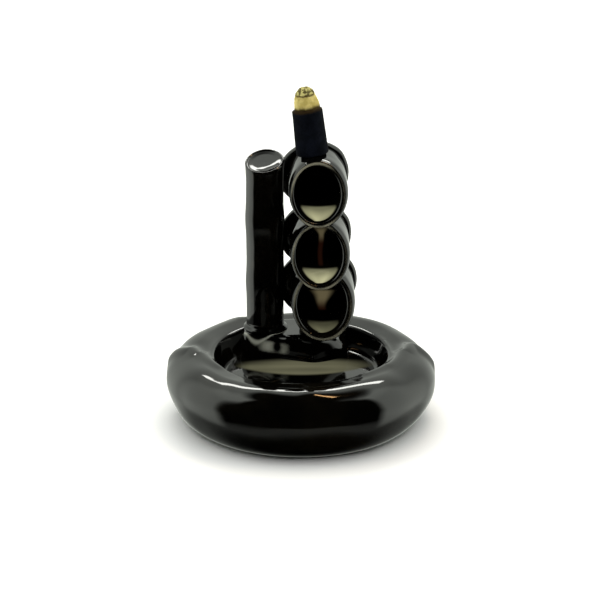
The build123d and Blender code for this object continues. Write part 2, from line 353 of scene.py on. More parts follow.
def culm_tree():
    """Tube along +Z with a rounded, slanted mouth, longest at -Y, and swollen nodes along it."""
    tree = bpy.data.node_groups.new("bamboo_culm", "GeometryNodeTree")
    tree.interface.new_socket("Geometry", in_out="OUTPUT", socket_type="NodeSocketGeometry")
    tree.interface.new_socket("Glaze", in_out="INPUT", socket_type="NodeSocketMaterial")
    for name in CULM_SIZES:
        tree.interface.new_socket(name, in_out="INPUT", socket_type="NodeSocketFloat")
    bench = Bench(tree)
    entry = tree.nodes.new("NodeGroupInput")
    size = {name: Value(tree, entry.outputs[name]) for name in CULM_SIZES}
    grid = tree.nodes.new("GeometryNodeMeshGrid")
    grid.inputs["Vertices X"].default_value = 161
    grid.inputs["Vertices Y"].default_value = 181
    around, along = (
        bench.add("ShaderNodeSeparateXYZ", None, {"Vector": grid.outputs["UV Map"]}, output=n)
        for n in (0, 1)
    )
    # along the wall's section: up the outside, over the lip, down the inside, across the foot
    outside_end, lip_end, inside_end = 0.45, 0.57, 0.985
    outside = (along / outside_end).clamped()
    over = ((along - outside_end) / (lip_end - outside_end)).clamped() * pi
    inside = ((along - lip_end) / (inside_end - lip_end)).clamped()
    foot = ((along - inside_end) / (1 - inside_end)).clamped()
    half_wall = size["Wall"] * 0.5
    angle = around * (2 * pi)
    slope = size["Slant"] / (size["Radius"] * 2)
    length = size["Length"] - slope * size["Radius"] * angle.sine() - half_wall
    height = length * (outside - inside) + half_wall * over.sine()
    radius = size["Radius"] - half_wall + half_wall * over.cosine() + size["Wall"] * foot
    # nodes swell the outside only
    steps = ((height - size["First Node"]) / size["Node Spacing"]).math("ROUND")
    from_node = (height - size["First Node"] - steps * size["Node Spacing"]) / size["Node Width"]
    swelling = size["Swell"] * (from_node * from_node * -1.0).math("EXPONENT")
    near_lip = ((height - length) / (size["Radius"] * 0.35) + 1.0).clamped()
    flare = size["Lip Flare"] * near_lip * near_lip * near_lip
    on_outside = (1 - over / pi).clamped() * (1 - foot)
    radius = radius + (swelling + flare) * on_outside
    sideways = size["Bore Shift"] * (over / pi) * (1 - foot)
    placed = bench.add(
        "ShaderNodeCombineXYZ",
        None,
        {"X": radius * angle.cosine() + sideways, "Y": radius * angle.sine(), "Z": height},
    )
    # a painted highlight in a line over the lip, most at the upper left and at the bottom of the mouth
    upper_left = bench.smooth((angle - radians(120)).cosine(), 0.2, 0.95)
    bottom = bench.smooth((angle + radians(90)).cosine(), 0.55, 0.98)
    over_lip = (over - 1.35).cosine().at_least(0) ** 5.0
    thin = over_lip * (0.45 + 0.55 * upper_left.at_least(bottom)) * size["Thin Lip"]
    marked = bench.add(
        "GeometryNodeStoreNamedAttribute",
        {"data_type": "FLOAT", "domain": "POINT"},
        {"Geometry": grid.outputs["Mesh"], "Name": "painted_reflection", "Value": thin},
    )
    shaped = bench.add("GeometryNodeSetPosition", None, {"Geometry": marked, "Position": placed})
    welded = bench.add("GeometryNodeMergeByDistance", None, {"Geometry": shaped, "Distance": 1e-6})
    # hand-made unevenness, pushed along the surface's own direction
    ripple = bench.add(
        "ShaderNodeTexNoise",
        {"noise_dimensions": "4D"},
        {"Vector": bench.add("GeometryNodeInputPosition"), "W": size["Seed"], "Scale": 95.0, "Detail": 1.0},
    )
    push = bench.add(
        "ShaderNodeVectorMath",
        {"operation": "SCALE"},
        {0: bench.add("GeometryNodeInputNormal"), "Scale": (ripple - 0.5) * 2.0 * size["Unevenness"]},
    )
    uneven = bench.add("GeometryNodeSetPosition", None, {"Geometry": welded, "Offset": push})
    real = bench.add("GeometryNodeRealizeInstances", None, {"Geometry": uneven})
    glaze = entry.outputs["Glaze"]
    glazed = bench.add("GeometryNodeSetMaterial", None, {"Geometry": real, "Material": glaze})
    leave = tree.nodes.new("NodeGroupOutput")
    connect(tree, glazed, leave.inputs["Geometry"])
    return tree


def culm(name, tree, material, stand, **sizes):
    """A culm of these sizes as a plain mesh, placed on its stand."""
    seed_mesh = bpy.data.meshes.new(name)
    worker = bpy.data.objects.new(name + "_worker", seed_mesh)
    bpy.context.scene.collection.objects.link(worker)
    modifier = worker.modifiers.new("culm", "NODES")
    modifier.node_group = tree
    values = {**CULM_SIZES, **{key.replace("_", " ").title(): size for key, size in sizes.items()}}
    for item in tree.interface.items_tree:
        if item.in_out == "INPUT":
            modifier[item.identifier] = material if item.name == "Glaze" else float(values[item.name])
    bpy.context.view_layer.update()
    evaluated = worker.evaluated_get(bpy.context.evaluated_depsgraph_get())
    mesh = bpy.data.meshes.new_from_object(evaluated)
    bpy.data.objects.remove(worker)
    mesh.name = name
    mesh.transform(stand)
    shape = bmesh.new()
    shape.from_mesh(mesh)
    bmesh.ops.remove_doubles(shape, verts=shape.verts, dist=1e-7)
    bmesh.ops.recalc_face_normals(shape, faces=shape.faces)
    shape.to_mesh(mesh)
    shape.free()
    return show(name, mesh, material)


# ---- finishes in use ------------------------------------------------------------------------------
plain_glaze = dark_glaze("dark_glaze")
# its pale colour is the painted reflection on the ledge's face
rock_glaze = dark_glaze("rock_glaze", waviness=1.6, reflection_colour=(0.46, 0.47, 0.39, 1))
clay = clay_finish()
incense = incense_finish()
ash_crust = ash_finish()


# ---- pond bowl ------------------------------------------------------------------------------------
BELLY_Z, FOOT_R, RIDGE_R, LIP_R, POOL_R = 15.3 * MM, 41.8 * MM, 40.5 * MM, 33.6 * MM, 30.0 * MM
POOL_Z, LIP_DROP, PLATE_HOLLOW_R, HOLLOW_Z = 18.0 * MM, 0.8 * MM, 37.8 * MM, 3.9 * MM
AROUND_BOWL, SHOULDER_STEPS = 540, 44
bowl_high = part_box("pond_bowl")[1]
BOWL_R, BOWL_H = bowl_high.x, bowl_high.z


def bezier(a, b, c, d, steps):
    """Points of a cubic curve, without its first one."""
    out = []
    for s in range(1, steps + 1):
        t = s / steps
        out.append(a * (1 - t) ** 3 + b * (3 * t * (1 - t) ** 2) + c * (3 * t * t * (1 - t)) + d * t ** 3)
    return out


def bowl_outline():
    """Half section of the bowl in four runs: from the middle of the pond's floor up to the rim's ridge,
    over the shoulder to the belly, under it to the foot, and into the hollow below."""
    inner = rounded(
        [
            (0, POOL_Z, 0), (POOL_R, POOL_Z, 3.0 * MM),
            (LIP_R, BOWL_H - LIP_DROP, 2.2 * MM), (RIDGE_R, BOWL_H, 0),
        ]
    )
    inner = divided(inner, 0.9 * MM)
    shoulder = [
        Vector((
            RIDGE_R + (BOWL_R - RIDGE_R) * sin(pi / 2 * s / SHOULDER_STEPS),
            BELLY_Z + (BOWL_H - BELLY_Z) * cos(pi / 2 * s / SHOULDER_STEPS),
        ))
        for s in range(1, SHOULDER_STEPS + 1)
    ]
    overhang = BOWL_R - FOOT_R
    under = bezier(
        Vector((BOWL_R, BELLY_Z)),
        Vector((FOOT_R + 0.94 * overhang, 0.52 * BELLY_Z)),
        Vector((FOOT_R + 0.41 * overhang, 0.1 * BELLY_Z)),
        Vector((FOOT_R, 0)),
        24,
    )
    corners = ((FOOT_R, 0), (PLATE_HOLLOW_R, 0), (PLATE_HOLLOW_R, HOLLOW_Z), (0, HOLLOW_Z))
    hollow = divided([Vector(corner) for corner in corners], 3 * MM)[1:]
    return inner, shoulder, under, hollow


# soft folds over the rim, where lumps of clay meet: places from lip to belly as (along, angle), height
# of the crest, how much lower the clay lies on its back side, and which way round that side is
FOLDS = (
    (((0, 208), (0.3, 186), (0.5, 179), (1, 172)), 0.8 * MM, 1.1 * MM, -1),
    (((0, 312), (0.14, 333), (0.32, 358), (0.55, 368), (0.8, 364), (1, 364)), 1.0 * MM, 1.6 * MM, 1),
    (((0, 112), (0.5, 124), (1, 130)), 0.3 * MM, 0.3 * MM, -1),
)
FOLD_WIDTH, STEP_WIDTH, STEP_END, FOLD_START = 2.9 * MM, 5.0 * MM, 9.5 * MM, 0.12
FOLD_REACH = 60             # degrees round the rim within which a fold is felt
# thumbed dents over the rim: angle, depth, half width
DENTS = (
    (264.3, 0.9 * MM, 6 * MM), (222, 0.5 * MM, 6 * MM), (330, 0.6 * MM, 7 * MM), (82, 0.8 * MM, 6 * MM),
)


def between(stops, t):
    """The angle at t along a fold, eased from stop to stop."""
    for (t0, a0), (t1, a1) in zip(stops, stops[1:]):
        if t <= t1:
            share = (t - t0) / (t1 - t0)
            share = share * share * (3 - 2 * share)
            return a0 + (a1 - a0) * share
    return stops[-1][1]


FOLD_STEPS = 40
FOLD_SHARES = [n / FOLD_STEPS for n in range(FOLD_STEPS + 1)]
FOLD_TRAILS = {fold[0]: [(between(fold[0], share), share) for share in FOLD_SHARES] for fold in FOLDS}


def distance_to(trail):
    """Distance from the origin to a trail of straight pieces."""
    nearest = BOWL_R
    for (x, y), (next_x, next_y) in zip(trail, trail[1:]):
        run, rise = next_x - x, next_y - y
        share = max(0.0, min(1.0, -(x * run + y * rise) / (run * run + rise * rise)))
        nearest = min(nearest, hypot(x + run * share, y + rise * share))
    return nearest


def lump(point, along, angle):
    """How far the bowl's surface stands out there: unevenness, folds and dents."""
    around = degrees(angle) % 360
    radius = hypot(point.x, point.y)
    out = 0.9 * MM * noise.noise(point * 45) + 0.15 * MM * noise.noise(point * 90 + Vector((5, 0, 0)))
    for stops, crest, drop, back in FOLDS:
        here = between(stops, along)
        gap = (around - here + 180) % 360 - 180
        if along <= 0 or abs(gap) > FOLD_REACH:
            continue
        trail = [
            (radians(here + gap - place) * radius, (along - share) * (BOWL_R - LIP_R))
            for place, share in FOLD_TRAILS[stops]
        ]
        away = distance_to(trail)
        begun = min(1.0, along / FOLD_START)
        out += begun * crest * exp(-((away / FOLD_WIDTH) ** 2))
        if gap * back > 0:
            out -= begun * drop * (1 - exp(-((away / STEP_WIDTH) ** 2))) * exp(-((away / STEP_END) ** 2))
    for place, depth, width in DENTS:
        away = radians((around - place + 180) % 360 - 180) * radius
        out -= depth * exp(-((away / width) ** 2)) * exp(-(((along - 0.6) / 0.35) ** 2))
    return out


BELLY_EASE = 0.5 * MM       # lumps that would pass the belly's radius ease off over this much


def held_in(radius):
    """A radius that eases off before it passes the belly's."""
    over = radius - (BOWL_R - BELLY_EASE)
    return radius if over < 0 else BOWL_R - BELLY_EASE * exp(-over / BELLY_EASE)


def pond():
    """The whole bowl, turned from its half section, with its lumps pushed out square to the surface."""
    inner, shoulder, under, hollow = bowl_outline()
    outline = inner + shoulder + under + hollow
    rows = []
    for n, point in enumerate(outline):
        before, after = outline[max(n - 1, 0)], outline[min(n + 1, len(outline) - 1)]
        run = (after - before).normalized()
        normal = Vector((-run.y, run.x))
        if n < len(inner):
            along = max(0.0, (point.x - LIP_R) / (BOWL_R - LIP_R))
            rise = max(0.0, min(1.0, (point.y - POOL_Z - 2.5 * MM) / (5 * MM)))
            weight = rise * rise * (3 - 2 * rise)
        elif n < len(inner) + len(shoulder):
            along, weight = (point.x - LIP_R) / (BOWL_R - LIP_R), 1.0
        elif n < len(inner) + len(shoulder) + len(under):
            along, weight = 1.0, min(1.0, max(0.0, point.y / (9 * MM)))
        else:
            along, weight = 1.0, 0.0
        row = []
        for step in range(AROUND_BOWL):
            angle = 2 * pi * step / AROUND_BOWL
            base = Vector((point.x * cos(angle), point.x * sin(angle), point.y))
            push = weight * (lump(base, along, angle) - 0.1 * MM) if weight else 0.0
            radius, height = held_in(point.x + normal.x * push), point.y + normal.y * push
            row.append((radius * cos(angle), radius * sin(angle), height))
        rows.append(row)
    return piece_from_grid("pond_bowl_glazed", rows, plain_glaze)


bowl = pond()
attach(bowl, "burner")
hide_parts("pond_bowl")


# ---- rocks: the ledge and the saddle rock ----------------------------------------------------------
def rock(name, node, lumps, voxel):
    """A hand-modelled rock that fills its CAD solid: softened all over, with shallow lumps."""
    mesh = frame["nodes"][node].data.copy()
    worker = bpy.data.objects.new(name + "_worker", mesh)
    bpy.context.scene.collection.objects.link(worker)
    shape = bmesh.new()
    shape.from_mesh(mesh)
    bmesh.ops.remove_doubles(shape, verts=shape.verts, dist=1e-6)
    shape.to_mesh(mesh)
    shape.free()
    remesh = worker.modifiers.new("even", "REMESH")
    remesh.mode, remesh.voxel_size = "VOXEL", voxel
    soften = worker.modifiers.new("soften", "SMOOTH")
    soften.factor, soften.iterations = 0.5, 22
    bpy.context.view_layer.update()
    out = bpy.data.meshes.new_from_object(worker.evaluated_get(bpy.context.evaluated_depsgraph_get()))
    bpy.data.objects.remove(worker)
    normals = [v.normal.copy() for v in out.vertices]
    for vertex, normal in zip(out.vertices, normals):
        dip = noise.noise(vertex.co * 170) + 0.5 * noise.noise(vertex.co * 380)
        vertex.co += normal * (dip - 0.5) * lumps
    return show(name, out, rock_glaze)


LEDGE_LEFT, LEDGE_RIGHT, LEDGE_TOE, TOE_TURN = -24.0 * MM, 19.0 * MM, 4.4 * MM, 5.0 * MM
LEDGE_BROW = 4.4 * MM       # the brow rounds over in this distance behind the toe


def eased(t):
    """0 to 1, steep at first and level at the end."""
    t = max(0.0, min(1.0, t))
    return (1 - (1 - t) ** 2.6) ** 0.62


REFLECTION_PATCH_X = -10.5 * MM         # middle of the painted reflection patch on the ledge's face
COIL_R = 9.2 * MM           # a painted highlight line runs round the post this far from its middle
post_low, post_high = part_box("bamboo_post")
post_foot = Vector(((post_low.x + post_high.x) / 2, (post_low.y + post_high.y) / 2, post_low.z))


def ledge_mound():
    """The ledge as one smooth mound: a slanting toe in the pond, a rounded brow and a nearly level top."""
    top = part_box("rock_ledge")[1].z
    sunk = POOL_Z - 0.8 * MM
    rows = []
    for step in range(91):
        x = LEDGE_LEFT + (LEDGE_RIGHT - LEDGE_LEFT) * step / 90
        ends = eased((x - LEDGE_LEFT) / (3.5 * MM)) * eased((LEDGE_RIGHT - x) / (11 * MM))
        # the toe runs back to both sides from where it turns, and is rounded there
        toe = LEDGE_TOE + 0.04 * (x - TOE_TURN) + 0.46 * hypot(x - TOE_TURN, 3 * MM)
        toe += 1.0 * MM * noise.noise(Vector((x * 90, 0, 4)))
        toe = min(toe, sqrt(POOL_R**2 - x * x) - 3 * MM)
        back = sqrt((LIP_R - 0.6 * MM) ** 2 - x * x)
        row = []
        for part in range(61):
            y = toe + (back - toe) * (part / 60) ** 1.5
            place = Vector((x, y, 0))
            level = top - 0.15 * MM - (0.9 * MM * abs(noise.noise(place * 130)) if y < 14 * MM else 0.0)
            row.append((x, y, sunk + (level - sunk) * eased((y - toe) / LEDGE_BROW) * ends))
        row += [(x, back - (back - toe) * part / 12, sunk - 0.4 * MM) for part in range(13)]
        rows.append(row)
    piece = piece_from_grid("rock_ledge_glazed", rows, rock_glaze, cap_ends=True)
    # painted reflection on the brow and face below the post, and a painted highlight round its foot
    layer = piece.data.attributes.new("painted_reflection", "FLOAT", "POINT")
    for vertex, entry in zip(piece.data.vertices, layer.data):
        x, y, z = vertex.co
        toe = LEDGE_TOE + 0.42 * (TOE_TURN - x)
        across = exp(-(((x - REFLECTION_PATCH_X) / (7.0 * MM)) ** 4))
        face = exp(-(((z - 23.5 * MM) / (2.6 * MM)) ** 4)) if y < toe + LEDGE_BROW else 0.0
        # a darker spot in the painted reflection, where a dark thing is reflected
        spot = exp(-(((x + 9.2 * MM) / (1.5 * MM)) ** 2) - (((z - 24 * MM) / (2.0 * MM)) ** 2))
        foot_highlight = exp(-(((hypot(x - post_foot.x, y - post_foot.y) - COIL_R) / (0.5 * MM)) ** 2))
        entry.value = max(face * across * (1 - 0.8 * spot) * 0.80, 0.8 * foot_highlight if y < 20 * MM else 0.0)
    return piece


ledge = ledge_mound()
saddle = rock("saddle_rock_glazed", "saddle_rock", 0.35 * MM, 0.5 * MM)
for piece, node in ((ledge, "rock_ledge"), (saddle, "saddle_rock")):
    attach(piece, "burner")
    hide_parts(node)


# ---- spouts ---------------------------------------------------------------------------------------
SPOUTS = {"lower": (12.3 * MM, 2.9 * MM), "middle": (11.5 * MM, 2.6 * MM), "upper": (11.4 * MM, 2.6 * MM)}
NODE_RING, NODE_LENGTH, END_WALL, NODE_ROUND = 0.8 * MM, 5.0 * MM, 2.6 * MM, 1.9 * MM
RING_SWELL = 0.5 * MM       # the glazed ring is fuller than the plain one
# each node end swells this much towards the post and a little down, where wet clay was pressed against it
SWELL_TO_POST, SWELL_DOWN = {"lower": 4.0 * MM, "middle": 2.9 * MM, "upper": 2.7 * MM}, 0.38
MOUTH_SLANT = 15.5 * MM
CONE_GAP, SEAT_MARGIN, HOLE_R = 0.25 * MM, 0.6 * MM, 1.9 * MM
culm_rule = culm_tree()
spout_stands = {}


def cut_seat(piece):
    """Cuts the cone's flat seat and the smoke hole into the upper spout."""
    stand = stand_along(cone_foot - lift * CONE_GAP, lift, Vector((0, 1, 0)))
    reach = 2 * CONE_BASE_R
    cutters = []
    for what in ("seat", "hole"):
        shape = bmesh.new()
        if what == "seat":
            size = Matrix.Diagonal((2 * reach, 2 * (CONE_BASE_R + SEAT_MARGIN), reach, 1))
            middle = stand @ Matrix.Translation((0, 0, reach / 2))
            bmesh.ops.create_cube(shape, size=1, matrix=middle @ size)
        else:
            bmesh.ops.create_cone(
                shape, cap_ends=True, segments=64, radius1=HOLE_R, radius2=HOLE_R, depth=8 * MM,
                matrix=stand,
            )
        mesh = bpy.data.meshes.new(what)
        shape.to_mesh(mesh)
        shape.free()
        cutter = bpy.data.objects.new(what, mesh)
        bpy.context.scene.collection.objects.link(cutter)
        cutters.append(cutter)
        cut = piece.modifiers.new(what, "BOOLEAN")
        cut.operation, cut.solver, cut.object = "DIFFERENCE", "EXACT", cutter
    bpy.context.view_layer.update()
    mesh = bpy.data.meshes.new_from_object(piece.evaluated_get(bpy.context.evaluated_depsgraph_get()))
    piece.modifiers.clear()
    for cutter in cutters:
        bpy.data.objects.remove(cutter)
    piece.data = mesh
    for face in mesh.polygons:
        face.use_smooth = True
    mesh.set_sharp_from_angle(angle=radians(30))
    mesh.materials.clear()
    mesh.materials.append(plain_glaze)


def out_of_round(number, to_post, rim):
    """Moves a node end's points: a little uneven all round, with its rim swollen towards the post."""
    def shape(r, h, a):
        rough = noise.noise(Vector((2.2 * cos(a), 2.2 * sin(a), number * 7.1 + h * 150))) - 0.4
        swell = to_post * max(0.0, -cos(a - SWELL_DOWN)) ** 1.6 * (r / rim) ** 8
        return r + min(1, r / (5 * MM)) * 0.3 * MM * rough + swell, h
    return shape


for number, (name, (radius, wall)) in enumerate(SPOUTS.items()):
    tube_low, tube_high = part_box(f"{name}_spout")
    end_low, end_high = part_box(f"{name}_node_end")
    back = Vector((end_low.x + radius + NODE_RING, end_high.y, end_low.z + radius + NODE_RING))
    front = Vector((tube_high.x - radius, tube_low.y, tube_low.z + radius))
    stand = stand_along(back, front - back, Vector((0, 0, 1)))
    spout_stands[name] = (stand, radius, wall, (front - back).length)
    hidden = NODE_LENGTH - 1.2 * MM
    # each spout's lip carries the painted highlight line at full strength
    tube = culm(
        f"{name}_spout_glazed", culm_rule, plain_glaze, stand @ Matrix.Translation((0, 0, hidden)),
        radius=radius, wall=wall, length=(front - back).length - hidden - MOUTH_SLANT / 2,
        slant=MOUTH_SLANT, lip_flare=-0.5 * MM, bore_shift=-0.6 * MM,
        thin_lip=1.0, unevenness=0.18 * MM, seed=number * 3.7,
    )
    if name == "upper":
        cut_seat(tube)
    rim = radius + NODE_RING + RING_SWELL
    outline = rounded(
        [
            (0, 0.35 * MM, 0), (radius - 2 * MM, 0.5 * MM, 1.5 * MM), (radius - 1 * MM, 0, 0.5 * MM),
            (rim, 0, NODE_ROUND), (rim, NODE_LENGTH, NODE_ROUND),
            (radius - wall, NODE_LENGTH, 0.6 * MM), (radius - wall, END_WALL, 1.5 * MM), (0, END_WALL, 0),
        ]
    )
    end = turned(
        f"{name}_node_end_glazed", divided(outline, 0.7 * MM), stand, plain_glaze, around=128,
        shape=out_of_round(number, SWELL_TO_POST[name], rim),
    )
    for piece, node in ((tube, f"{name}_spout"), (end, f"{name}_node_end")):
        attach(piece, "burner")
        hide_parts(node)


# ---- bamboo post, its cap and the coil round its foot -----------------------------------------------
POST_R, RIM_WALL = 7.3 * MM, 1.1 * MM
CUT_FRONT, CUT_LEFT = radians(19.5), radians(4.7)
cut_lean = hypot(tan(CUT_FRONT), tan(CUT_LEFT))
cut_rise = POST_R * cut_lean
cut_turn = atan2(tan(CUT_LEFT), tan(CUT_FRONT))
post_height = post_high.z - cut_rise - post_foot.z
# the culm's mouth is longest at its own -Y, so the stand is turned to bring that to the back
post_stand = Matrix.Translation(post_foot) @ Matrix.Rotation(pi - cut_turn, 4, "Z")
post = culm(
    "bamboo_post_glazed", culm_rule, plain_glaze, post_stand,
    radius=POST_R, wall=RIM_WALL, length=post_height, slant=2 * cut_rise, swell=0.35 * MM,
    first_node=19 * MM, node_spacing=25 * MM, node_width=5 * MM, unevenness=0.16 * MM, seed=21.0,
)
cap_outline = divided(
    rounded(
        [
            (0, -0.5 * MM, 0), (4.6 * MM, -0.45 * MM, 8 * MM), (6.5 * MM, -0.25 * MM, 0.2 * MM),
            (6.5 * MM, -3 * MM, 0.2 * MM), (0, -3 * MM, 0),
        ]
    ),
    0.5 * MM,
)
# slope, place and spread of the cap's raised side
CAP_LIP, CAP_LIP_AT, CAP_LIP_SPREAD = 0.16, 2.32, 0.75


def dished(r, h, a):
    """The cap lies along the cut, and turns up a little towards the rim on its right front side."""
    raised = CAP_LIP * max(0.0, r - 3.4 * MM) * exp(-(((a - CAP_LIP_AT) / CAP_LIP_SPREAD) ** 2))
    return r, h - cut_lean * r * sin(a) + (raised if h > -2 * MM else 0.0)


def hand_pressed(r, h, a):
    """The coil was pressed down by hand, so its outside wanders."""
    outside = r > POST_R + 0.1 * MM
    wander = 0.25 * MM * noise.noise(Vector((1.6 * cos(a), 1.6 * sin(a), 3)))
    return r + (wander if outside else 0), h


cap_stand = post_stand @ Matrix.Translation((0, 0, post_height))
cap = turned("post_cap_glazed", cap_outline, cap_stand, plain_glaze, shape=dished)
coil_outline = divided(
    rounded(
        [
            (6.9 * MM, 0, 0), (8.9 * MM, 0, 0.25 * MM), (8.5 * MM, 0.75 * MM, 0.3 * MM),
            (7.45 * MM, 1.5 * MM, 0.8 * MM), (7.3 * MM, 2.6 * MM, 0), (6.9 * MM, 2.6 * MM, 0),
        ]
    ),
    0.4 * MM,
)
coil = turned(
    "foot_coil_glazed", coil_outline + coil_outline[:1], Matrix.Translation(post_foot), plain_glaze,
    shape=hand_pressed,
)
for piece, node in ((post, "bamboo_post"), (cap, "post_cap"), (coil, "foot_coil")):
    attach(piece, "burner")
    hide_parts(node)


# ---- incense cone ---------------------------------------------------------------------------------
cone_stand = stand_along(cone_foot, lift, Vector((0, 1, 0)))
body_outline = divided(
    rounded(
        [
            (0, 0.2 * MM, 0), (CONE_BASE_R, 0, 0.5 * MM), (CONE_SHOULDER_R, CONE_BODY_H, 0.9 * MM),
            (ASH_R - 1 * MM, CONE_BODY_H - 0.4 * MM, 0.5 * MM), (0, CONE_BODY_H - 0.6 * MM, 0),
        ]
    ),
    0.35 * MM,
)


FRONT_HIGHER = 0.6 * MM     # the burnt edge is this much higher in front


def pressed(r, h, a):
    """The pressed body is a little out of round, and its burnt edge is ragged."""
    rough = noise.noise(Vector((1.5 * cos(a), 1.5 * sin(a), h * 120)))
    fine = noise.noise(Vector((9 * cos(a), 9 * sin(a), h * 1300)))
    share = min(1.0, r / (3 * MM))
    near_top = max(0.0, (h / CONE_BODY_H - 0.8) / 0.2)
    uneven = 0.5 * MM * noise.noise(Vector((2.3 * cos(a), 2.3 * sin(a), 8)))
    ragged = near_top * (uneven - FRONT_HIGHER * sin(a))
    return r + share * (0.16 * MM * (rough - 0.3) + 0.05 * MM * fine), h + ragged * share


def crusted(r, h, a):
    """Ash shrinks and crumbles as it burns: lumpy, with a cracked tip that leans off the middle."""
    high = max(0.0, (h - CONE_BODY_H) / ASH_H)
    rough = noise.noise(Vector((1.7 * cos(a), 1.7 * sin(a), h * 260)))
    fine = noise.noise(Vector((6 * cos(a), 6 * sin(a), h * 900)))
    share = min(1.0, r / (2 * MM))
    crack = 0.35 * MM * exp(-(((high - 0.62 - 0.05 * sin(3 * a)) / 0.03) ** 2)) * max(0.0, sin(a + 2.2))
    return r + share * (0.45 * MM * (rough - 0.25) + 0.16 * MM * fine - crack), h + share * 0.25 * MM * fine


ash_foot = CONE_BODY_H - 0.5 * MM
ash_outline = [Vector((0, ash_foot)), Vector((ASH_R, ash_foot))]
ash_outline += bezier(
    Vector((ASH_R, ash_foot)), Vector((0.98 * ASH_R, CONE_BODY_H + 0.45 * ASH_H)),
    Vector((0.72 * ASH_R, CONE_BODY_H + ASH_H)), Vector((0, CONE_BODY_H + 0.99 * ASH_H)), 34,
)
ash_outline = divided(ash_outline, 0.4 * MM)
cone = turned("cone_body_pressed", body_outline, cone_stand, incense, around=128, shape=pressed)
ash = turned("cone_ash_crust", ash_outline, cone_stand, ash_crust, around=128, shape=crusted)
for piece, node, slot_name in ((cone, "cone_body", "incense"), (ash, "cone_ash", "ash")):
    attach(piece, "cone")
    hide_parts(node)


# ---- base plate: the CAD solid, in raw clay ----------------------------------------------------------
plate = frame["nodes"]["base_plate"]
plate.data.materials.clear()
plate.data.materials.append(clay)


# ---- smoke: sheets not attached to the burner, because it isn't part of the burner -------------------
def smoke_finish():
    """Pale smoke, a painted soft glow in the dark mouths. Its colour and thickness come from the mesh."""
    material, bench, shader, _ = finish("smoke")
    tint = bench.add("ShaderNodeAttribute", {"attribute_name": "tint"}, output="Color")
    thickness = bench.add("ShaderNodeAttribute", {"attribute_name": "tint"}, output="Alpha")
    shader.inputs["Base Color"].default_value = (0.0, 0.0, 0.0, 1)
    shader.inputs["Roughness"].default_value = 1.0
    shader.inputs["Specular IOR Level"].default_value = 0.0
    # the smoke's brightness is painted light, emitted rather than lit by the lamps
    shader.inputs["Emission Strength"].default_value = 1.0
    connect(bench.tree, tint, shader.inputs["Emission Color"])
    connect(bench.tree, thickness, shader.inputs["Alpha"])
    return material


def veil(name, columns, rows, place, tint):
    """A sheet of smoke over u and v from 0 to 1. tint gives its colour and thickness there."""
    mesh = bpy.data.meshes.new(name)
    spots = [(i / (columns - 1), j / (rows - 1)) for j in range(rows) for i in range(columns)]
    faces = [
        (j * columns + i, j * columns + i + 1, (j + 1) * columns + i + 1, (j + 1) * columns + i)
        for j in range(rows - 1) for i in range(columns - 1)
    ]
    mesh.from_pydata([place(u, v) for u, v in spots], [], faces)
    layer = mesh.attributes.new("tint", "FLOAT_COLOR", "POINT")
    for spot, entry in zip(spots, layer.data):
        entry.color = tint(*spot)
    sheet = show(name, mesh, smoke_look)
    sheet.visible_shadow = False
    sheet.visible_glossy = False


def fade(t, low, high):
    """0 at low and 1 at high, eased between. low may be the larger."""
    t = max(0.0, min(1.0, (t - low) / (high - low)))
    return t * t * (3 - 2 * t)


smoke_look = smoke_finish()
# emitted colours of the smoke's painted glow: cream in the bores, tan off the lips, dim red lower down
CREAM, TAN, DIM_RED_GLOW = Vector((0.47, 0.46, 0.27)), Vector((0.17, 0.14, 0.075)), Vector((0.020, 0.006, 0.003))
SMOKE_BACK = 10.5 * MM        # how far the smoke shows behind the lip
# depth of the smoke in each bore, and how bright its painted glow is
SMOKE_LYING = {"upper": (3.9 * MM, 1.0), "middle": (3.8 * MM, 1.05), "lower": (2.6 * MM, 0.34)}


def lying_smoke(name):
    """Smoke lying in a bore: level at first, then rolling down over the lip."""
    stand, radius, wall, length = spout_stands[name]
    bore = radius - wall
    depth, strength = SMOKE_LYING[name]
    level = depth - bore

    def place(u, v):
        roll = fade(v, 0.45, 0.97)
        height = level + (-radius + 0.45 * wall - level) * roll
        half = sqrt(max(0.0, bore * bore - min(height, 0) ** 2)) if height > -bore else 2.2 * MM
        half = max(half - 0.2 * MM, 2.2 * MM)
        lip = length - MOUTH_SLANT / (2 * radius) * (radius + height)
        along = length - SMOKE_BACK + (lip + 0.35 * MM - length + SMOKE_BACK) * v
        side = (2 * u - 1) * half * 0.99
        sag = (side / bore) ** 2 * 0.6 * MM * (1 - roll)
        return stand @ Vector((side - 0.1 * MM, height + sag, along))

    def tint(u, v):
        side = abs(2 * u - 1)
        glow = 0.4 * fade(v + 0.1 * side * side, 0.05, 0.55)
        glow += 0.6 * fade(v + 0.14 * side * side, 0.52, 0.76)
        wisp = 0.88 + 0.3 * noise.noise(Vector((u * 2.2, v * 3, len(name))))
        # painted glow, dimmer at the sides and towards the lip
        shade = CREAM * strength * wisp * (0.55 + 0.45 * fade(side, 1.0, 0.35))
        shade *= 1 - 0.70 * fade(v, 0.78, 0.97)
        edge = fade(side, 1.0, 0.86)
        return (*shade, glow * edge * (1 - 0.55 * fade(v, 0.8, 1.0)))

    veil(f"smoke_in_{name}_spout", 41, 41, place, tint)


